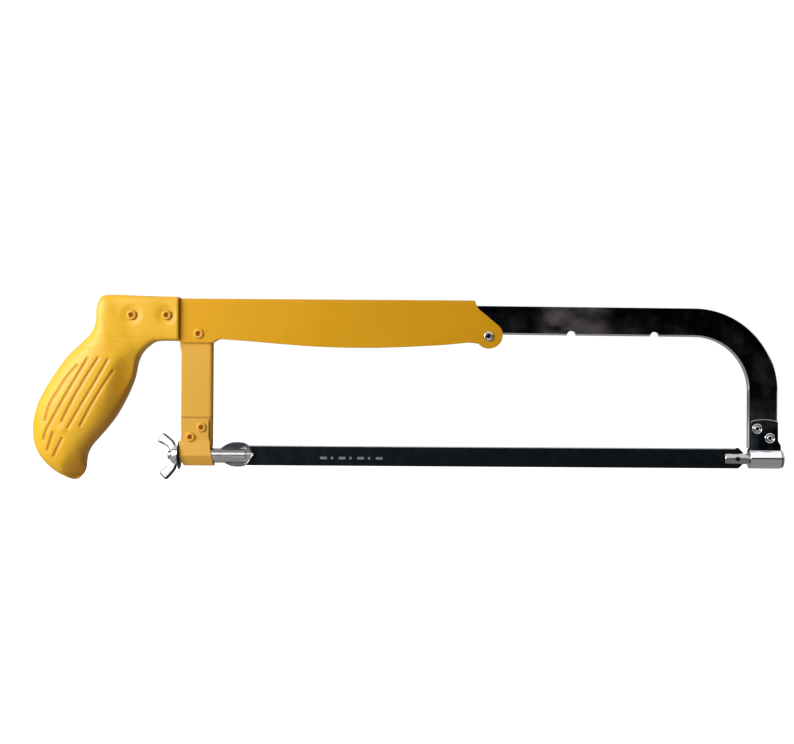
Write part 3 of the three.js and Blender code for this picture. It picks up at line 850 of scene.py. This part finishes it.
def front_bar():
    section = bar_section()
    rings = []
    for point, out in bar_stations():
        rings.append([(point[0] + out[0] * t, y, point[1] + out[1] * t) for t, y in section])
    piece = loft("front_bar_fine", rings)
    notches = []
    for i in range(3):
        x = STOP_X + i * NOTCH_PITCH
        notches.append(rod_along_y("notch", x, bar_bottom(x), NOTCH_R))
    combine(piece, notches + rivet_bores(2.0, "front_bracket_rivet_upper", "front_bracket_rivet_lower"))
    soften(piece, 0.22, angle=45)
    return show(piece, "front_frame", ["front_bar"], "dark_plate", BAR_PLATE)


# Rivets and pins: hole and head radii, where the head sits and its thickness
RIVETS = {
    "handle_rivet_rear": (1.35, 3.0, 7.25, 1.1),
    "handle_rivet_front": (1.35, 3.0, 7.1, 1.1),
    "leg_rivet": (1.35, 3.2, 4.03, 1.0),
    "rear_bracket_rivet_upper": (1.3, 3.0, 4.03, 1.0),
    "rear_bracket_rivet_lower": (1.3, 3.0, 4.03, 1.15),
    "front_bracket_rivet_upper": (1.0, 3.1, 3.22, 0.8),
    "front_bracket_rivet_lower": (1.0, 3.1, 3.22, 0.8),
}


def rolled_ring(rise, hole, head):
    """A painted rivet's end, as (station, radius) from its hole out."""
    return [
        (rise - 0.35, hole + 0.05), (rise - 0.12, hole + 0.2), (rise, hole + 0.5), (rise - 0.04, hole + 0.8),
        (rise - 0.22, head - 0.45), (rise - 0.5, head - 0.15), (rise - 0.75, head),
    ]


def double_ring(rise, hole, head):
    """A plated rivet's end, its lip turned into a ring inside the head's own rim."""
    return [
        (rise - 0.2, hole + 0.03), (rise - 0.04, hole + 0.15), (rise, hole + 0.4), (rise - 0.1, hole + 0.65),
        (rise - 0.5, hole + 0.9), (rise - 0.5, head - 0.85), (rise - 0.16, head - 0.6),
        (rise - 0.1, head - 0.4), (rise - 0.22, head - 0.15), (rise - 0.45, head),
    ]


def rivet(name, hole, head, seat, thick):
    """A hollow rivet whose ends are rolled over into rings."""
    x, z = RIVET_AT[name]
    front = name.startswith("front")
    rise = seat + thick
    ring = double_ring(rise, hole, head) if front else rolled_ring(rise, hole, head)
    blind = rise - 2.9
    near = [(blind, 0), (blind, hole * 0.9), (rise - 0.9, hole), *ring, (seat, head), (seat, 1.7)]
    profile = [(-y, r) for y, r in near] + near[::-1]
    piece = turned(f"{name}_fine", profile, (x, 0, z), segments=72)
    body = "front_frame" if front else "rear_frame"
    slot = "bright_plate" if front else "painted_rivet"
    return show(piece, body, [name], slot, RIVET_CHROME if front else RIVET_PAINT, sharp=50)


def stop_pin():
    seat, top, head = 4.05, 5.0, 2.95
    near = [
        (top - 1.5, 0), (top - 1.45, 0.9), (top - 0.6, 1.25), (top - 0.1, 1.4), (top, 1.65), (top, 2.3),
        (top - 0.1, 2.62), (top - 0.35, 2.85), (top - 0.6, head), (seat, head), (seat, 1.0),
    ]
    profile = [(-y, r) for y, r in near] + near[::-1]
    piece = turned("stop_pin_fine", profile, (STOP_X, 0, STOP_PIN_Z), segments=72)
    return show(piece, "rear_frame", ["stop_pin"], "bright_plate", PIN_CHROME, sharp=50)


# Blade, its pins and the tension rod


def blade_columns():
    """Stations along the blade with the height of its toothed edge there."""
    crest, corner = BLADE["crest"], BLADE["corner"]
    root = crest - TOOTH_DEPTH
    first, last = BLADE["low"] + corner + 0.8, BLADE["high"] - corner - 0.8
    count = int((last - first) / TOOTH_PITCH)
    columns = [(BLADE["low"], crest), (first - 0.02, crest)]
    for i in range(count):
        x = first + i * TOOTH_PITCH
        columns += [(x, root), (x + 0.18, root + 0.02)]
        columns += [(x + TOOTH_PITCH - 0.14, crest), (x + TOOTH_PITCH - 0.06, crest)]
    end = first + count * TOOTH_PITCH
    columns += [(end, root), (end + 0.05, crest), (BLADE["high"], crest)]
    return columns


def blade():
    low, high, half, crest = (BLADE[k] for k in ("low", "high", "half", "crest"))
    thick, corner = BLADE["thick"], BLADE["corner"]
    set_start = half - SET_HEIGHT
    rings = []
    for x, top in blade_columns():
        heights = [-half + 0.12, -half, -half, -half + 0.12, set_start, half - 1.4, top]
        sides = [0, 0.12, thick - 0.12, thick, thick, thick, thick]
        heights += [top, half - 1.4, set_start]
        sides += [0, 0, 0]
        ring = []
        for y, z in zip(sides, heights):
            reach = max(0, (z - set_start) / SET_HEIGHT) ** 1.5
            swing = SET_WIDTH * reach * math.sin(2 * math.pi * x / SET_WAVE)
            ring.append((x, y + swing, z))
        rings.append(ring)
    piece = loft("blade_fine", rings)
    outline = [
        (low, -half + corner), (low + corner, -half - 0.01), (high - corner, -half - 0.01),
        (high, -half + corner), (high, crest - corner), (high - corner, crest + 0.01),
        (low + corner, crest + 0.01), (low, crest - corner),
    ]
    outline = [(x + (0.02 if x == low else -0.02 if x == high else 0), z) for x, z in outline]
    combine(piece, [prism("outline", outline, -3, 4)], "INTERSECT")
    combine(piece, [rod_along_y("hole", x, 0, BLADE["hole"], -3, 4) for x in BLADE_HOLES])
    return show(piece, "blade", ["blade"], "blade_steel", BLADE_STEEL, sharp=25, weighted=False)


MARK = {"start": 50.5, "step": 5.6, "long": 4.03, "short": 1.364, "low": -1.9, "high": -0.4, "thick": 0.02}
MARK_INDENT = 0.86  # how far a short dash stands in from its step


def blade_mark():
    """A plain printed mark: a row of long and short dashes, by turns, that says nothing."""
    low, high = MARK["low"], MARK["high"]
    verts, faces = [], []
    for i in range(7):
        start = MARK["start"] + i * MARK["step"] + (MARK_INDENT if i % 2 else 0)
        end = start + MARK["short" if i % 2 else "long"]
        base = len(verts)
        for y in (-MARK["thick"], 0.0):
            verts += [(start, y, low), (end, y, low), (end, y, high), (start, y, high)]
        quads = [(0, 1, 2, 3), (7, 6, 5, 4), (0, 4, 5, 1), (1, 5, 6, 2), (2, 6, 7, 3), (3, 7, 4, 0)]
        faces += [tuple(base + k for k in quad) for quad in quads]
    piece = new_piece("blade_mark", verts, faces)
    piece.data.transform(TO_FRAME)
    piece.data.materials.append(PRINT)
    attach(piece, "blade")
    return piece


def peg(name, x, body):
    profile = [(-3.0, 0), (-3.0, 1.1), (-2.8, 1.3), (0.95, 1.3), (1.2, 1.15), (1.33, 0.8), (1.35, 0)]
    piece = turned(f"{name}_fine", profile, (x, 0, 0), segments=48)
    return show(piece, body, [name], "dark_steel", DARK_STEEL)


def front_stud():
    profile = [
        (293.9, 0), (293.9, 2.7), (294.1, 3.05), (294.5, 3.3), (308.9, 3.3), (309, 4.6), (327.65, 4.6),
        (327.7, 5.2), (327.85, 5.4), (328.6, 5.4), (328.95, 5.1), (329.1, 4.6), (329.05, 4.2), (328.9, 4.0),
        (328.9, 0),
    ]
    piece = turned("front_stud_fine", profile, axis="x", segments=96)
    face = block("face", (288, NOSE_FACE_Y, -10), (309, 12, 10))
    combine(piece, [face, rod_along_y("hole", PEG_SPAN, 0, 1.5)])
    soften(piece, 0.12, 2)
    return show(piece, "front_frame", ["front_stud"], "zinc_plate", ZINC, sharp=40)


ROD_R = 4.5
THREAD = {"low": -41.2, "high": -33.5, "crest": 2.9, "depth": 0.55, "pitch": 1.0}


def rod_rings():
    count = 72
    angles = np.arange(count) * 2 * math.pi / count
    rings = [[(THREAD["low"], 0, 0)]]
    for x in np.arange(THREAD["low"], THREAD["high"] + 1e-6, 0.125):
        turn = (x / THREAD["pitch"] - angles / (2 * math.pi)) % 1
        tooth = np.clip(np.abs(turn - 0.5) * 2.5 - 0.15, 0, 1)
        radius = THREAD["crest"] - THREAD["depth"] * tooth
        radius = np.minimum(radius, THREAD["crest"] - 0.7 + (x - THREAD["low"]))
        rings.append(np.stack([np.full(count, x), radius * np.cos(angles), radius * np.sin(angles)], 1))
    for x, radius in ((-33.45, 4.2), (-33.2, ROD_R), (5.1, ROD_R), (5.6, 4.25), (5.9, 3.8), (6.2, 2.5)):
        rings.append([(x, radius * math.cos(a), radius * math.sin(a)) for a in angles])
    rings.append([(6.3, 0, 0)])
    return rings


NOSE_RISE = 0.8  # how far the spread end stands above the rod's axis
NOSE_HALF = [
    (-10.2, 3.0), (-8.0, 4.6), (-5.7, 6.0), (-2.8, 7.1), (0.6, 7.5), (4.2, 7.2), (6.9, 6.0), (8.8, 3.4),
    (10.9, 0.25),
]


def nose_plate():
    """The spread end of the rod: a plate with a raised lip, hipped toward its tip."""
    edge = spline(NOSE_HALF, 0.4)
    across = np.linspace(-1, 1, 81)
    rings = []
    for x in np.arange(NOSE_HALF[0][0], NOSE_HALF[-1][0] + 0.01, 0.2):
        reach = np.interp(x, edge[:, 0], edge[:, 1])
        z = across * reach
        points = np.stack([np.full(len(z), x), np.abs(z)], 1)
        inward = np.hypot(*to_line(points, edge))
        lip = 0.55 * hollow(inward - 0.35, 0.7)
        rounding = 0.8 * hollow(inward, 0.5)
        hip = np.clip(1.15 - 0.22 * np.abs(z) - 0.1 * abs(x - 6), 0, None)
        stand = 1.35 + lip + hip - rounding
        front = [(x, NOSE_FACE_Y - h, b) for h, b in zip(stand, z)]
        rings.append(front + [(x, 1.0, b) for b in z[::-1]])
    plate = loft("plate", rings)
    plate.data.transform(Matrix.Translation((0, 0, NOSE_RISE)))
    return plate


def tension_rod():
    piece = loft("tension_rod_fine", rod_rings())
    combine(piece, [nose_plate()], "UNION")
    face = block("face", (-6.5, NOSE_FACE_Y, -12), (20, 12, 12))
    back = block("back", (-14, -0.1, -12), (-6.4, 6, 12))
    keep = turned("keep", [(-15, 0), (-15, ROD_R + 0.01), (-6, ROD_R + 0.01), (-6, 0)], axis="x", segments=72)
    combine(back, [keep])
    combine(piece, [face, back, rod_along_y("hole", 0, 0, 1.5, -3.2, 9)])
    return show(piece, "tension_rod", ["tension_rod"], "zinc_plate", ROD_STEEL, sharp=38)


def washer():
    inner, outer = 3.3, 8.5
    profile = [
        (-34.6, inner), (-34.6, outer - 0.2), (-34.4, outer), (-34.25, outer), (-34.05, outer - 0.2),
        (-34.05, inner),
    ]
    piece = turned("washer_fine", profile, axis="x", segments=96, closed=True)
    return show(piece, "rear_frame", ["washer"], "dark_steel", DARK_STEEL)


NUT_TURN = math.radians(-14)  # how far round the nut has come to rest
WING_LEAN = math.radians(6)  # how far the wings lean from square to the hub
WING_HALF = 1.4


def leaned(points, side):
    """One wing's outline, mirrored for the lower wing and leaned about the nut's base."""
    base = -36.4
    turn = [(x - base, z * side) for x, z in points]
    cos, sin = math.cos(WING_LEAN), math.sin(WING_LEAN)
    return [(base + x * cos - z * sin, x * sin + z * cos) for x, z in turn]


def wing_nut():
    hub = [
        (-39.4, 0), (-39.4, 4.0), (-39.1, 4.5), (-38.0, 5.1), (-36.3, 5.6), (-35.4, 6.2), (-35.0, 6.2),
        (-34.85, 5.9), (-34.85, 0),
    ]
    piece = turned("wing_nut_fine", hub, axis="x", segments=96)
    outer = spline([(-36.1, 2.5), (-36.2, 6.4), (-37.3, 9.0), (-39.6, 11.5), (-41.7, 13.5)], 0.6)
    tip = arc(-43.0, 12.6, 1.5, 0.9, 2.5, 6) + arc(-45.0, 9.9, 1.5, 2.7, 4.1, 6)
    inner = spline([(-44.4, 8.0), (-42.4, 6.5), (-40.7, 4.8), (-38.9, 2)], 0.6)
    outline = [*map(tuple, outer), *tip, *map(tuple, inner)]
    wings = []
    for side in (1, -1):
        levels = ((-WING_HALF, 0.8), (-WING_HALF / 2, 0.0), (WING_HALF / 2, 0.0), (WING_HALF, 0.8))
        rings = [[(x, y, z) for x, z in inset(leaned(outline, side), edge)] for y, edge in levels]
        wings.append(loft("wing", rings))
    merge(piece, wings)
    remesh = piece.modifiers.new("remesh", "REMESH")
    remesh.mode = "VOXEL"
    remesh.voxel_size = 0.16
    smooth = piece.modifiers.new("smooth", "SMOOTH")
    smooth.factor = 0.5
    smooth.iterations = 12
    settle(piece)
    bore = [
        (-45, 0), (-45, 3.6), (-39.7, 3.6), (-39.0, 3.1), (-35.2, 3.1), (-34.6, 3.5), (-30, 3.5), (-30, 0),
    ]
    combine(piece, [turned("bore", bore, axis="x", segments=64)])
    where = np.array([v.co for v in piece.data.vertices])
    # Painted dark reflection: the 'edge' attribute is 1 along the wings' rims and outer edges, where the
    # plating is painted near-black.
    on_wing = np.clip((np.hypot(where[:, 1], where[:, 2]) - 5.8) / 0.8, 0, 1)
    rim = np.clip((1.30 - np.abs(where[:, 1])) / 0.15, 0, 1)
    for side in (1, -1):
        from_outer = np.hypot(*to_line(where[:, [0, 2]], leaned(outer, side)))
        rim = np.maximum(rim, 0.8 * np.clip((1.5 - from_outer) / 0.3, 0, 1))
    dark_reflection = (on_wing * rim).astype(np.float32)
    piece.data.attributes.new("edge", "FLOAT", "POINT").data.foreach_set("value", dark_reflection)
    piece.data.transform(Matrix.Rotation(NUT_TURN, 4, "X"))
    return show(piece, "wing_nut", ["wing_nut"], "bright_plate", CAST, sharp=62, weighted=False)


handle()
back_channel()
rear_leg()
rear_bracket()
front_bar()
front_bracket()
for rivet_name, sizes in RIVETS.items():
    rivet(rivet_name, *sizes)
stop_pin()
blade()
blade_mark()
peg("rear_blade_peg", 0, "tension_rod")
peg("front_blade_peg", PEG_SPAN, "front_frame")
front_stud()
tension_rod()
washer()
wing_nut()

# Studio, in metres but for the camera's place: three softboxes, two from the left and one behind

CAMERA_AT = (96.5, -800, 50.9)
CAMERA_ROLL = math.radians(0.38)
LENS = 60.2
# The sky's light on matt surfaces and in reflections: the levels that it rises between, and both strengths
AMBIENT = (0.0, 0.7, 0.02, 0.11)
HORIZON = (0.22, 0.34, 0.02, 1.1)
BACKDROP = 1.05
FLOOR_SEEN = (0.62, 1.0)  # the floor's grey and its glow, to the camera
FLOOR_UNSEEN = (0.35, 0.12)  # and to every other ray
GRIP_SIDE = (-0.12, 0, 0.06)  # what the two left softboxes face


def camera():
    data = bpy.data.cameras.new("camera")
    data.lens = LENS
    data.sensor_width = 36
    data.clip_start = 0.01
    made = add_object("camera", data)
    made.location = TO_FRAME @ Vector(CAMERA_AT)
    level = Matrix.Rotation(math.pi / 2, 3, "X")
    made.rotation_euler = (level @ Matrix.Rotation(CAMERA_ROLL, 3, "Z")).to_euler()
    SCENE.camera = made


def softbox(name, at, toward, size, watts):
    data = bpy.data.lights.new(name, "AREA")
    data.shape = "RECTANGLE"
    data.size, data.size_y = size
    data.energy = watts
    made = add_object(name, data)
    made.location = at
    made.visible_camera = False
    made.rotation_euler = (Vector(toward) - Vector(at)).to_track_quat("-Z", "Y").to_euler()


def sky():
    """White to the camera, a dark horizon under white in reflections, and faint light on the rest."""
    world = bpy.data.worlds.new("studio")
    SCENE.world = world
    world.use_nodes = True
    tree = world.node_tree
    tree.nodes.clear()

    place = add_node(tree, "ShaderNodeTexCoord").outputs["Generated"]
    height = add_node(tree, "ShaderNodeSeparateXYZ", {"Vector": place}).outputs["Z"]
    ray = add_node(tree, "ShaderNodeLightPath").outputs

    def rising(*limits):
        """Between two strengths, as the sky's height goes between two levels."""
        sockets = dict(zip(("From Min", "From Max", "To Min", "To Max"), limits), Value=height)
        return add_node(tree, "ShaderNodeMapRange", sockets, interpolation_type="SMOOTHSTEP").outputs[0]

    def background(strength):
        sockets = {"Color": (1, 1, 1), "Strength": strength}
        return add_node(tree, "ShaderNodeBackground", sockets).outputs[0]

    def pick(flag, otherwise, chosen):
        return add_node(tree, "ShaderNodeMixShader", {0: ray[flag], 1: otherwise, 2: chosen}).outputs[0]

    lit = pick("Is Glossy Ray", background(rising(*AMBIENT)), background(rising(*HORIZON)))
    add_node(tree, "ShaderNodeOutputWorld", {0: pick("Is Camera Ray", lit, background(BACKDROP))})


def floor():
    """White to the camera, and grey to the light that it returns to the object."""
    reach, below = 6.0, -0.0004
    corners = [(-reach, -reach), (reach, -reach), (reach, reach), (-reach, reach)]
    mesh = bpy.data.meshes.new("floor")
    mesh.from_pydata([(x, y, below) for x, y in corners], [], [(0, 1, 2, 3)])
    made = add_object("floor", mesh)
    paper = bpy.data.materials.new("floor")
    paper.use_nodes = True
    tree = paper.node_tree
    tree.nodes.clear()

    def glowing(grey, strength):
        matt = add_node(tree, "ShaderNodeBsdfDiffuse", {"Color": (grey,) * 3}).outputs[0]
        glow = add_node(tree, "ShaderNodeEmission", {"Strength": strength}).outputs[0]
        return add_node(tree, "ShaderNodeAddShader", {0: matt, 1: glow}).outputs[0]

    seen = add_node(tree, "ShaderNodeLightPath").outputs["Is Camera Ray"]
    sockets = {0: seen, 1: glowing(*FLOOR_UNSEEN), 2: glowing(*FLOOR_SEEN)}
    shown = add_node(tree, "ShaderNodeMixShader", sockets).outputs[0]
    add_node(tree, "ShaderNodeOutputMaterial", {0: shown})
    mesh.materials.append(paper)


camera()
sky()
floor()
softbox("key", (-0.55, -0.46, 0.30), GRIP_SIDE, (0.45, 0.45), 5.2)
softbox("side", (-0.80, -0.20, 0.35), GRIP_SIDE, (0.4, 0.4), 1.2)
softbox("rear", (0.2, 0.9, 0.9), (0, 0, 0.06), (1.2, 0.6), 2.5)
SCENE.view_settings.view_transform = "Standard"
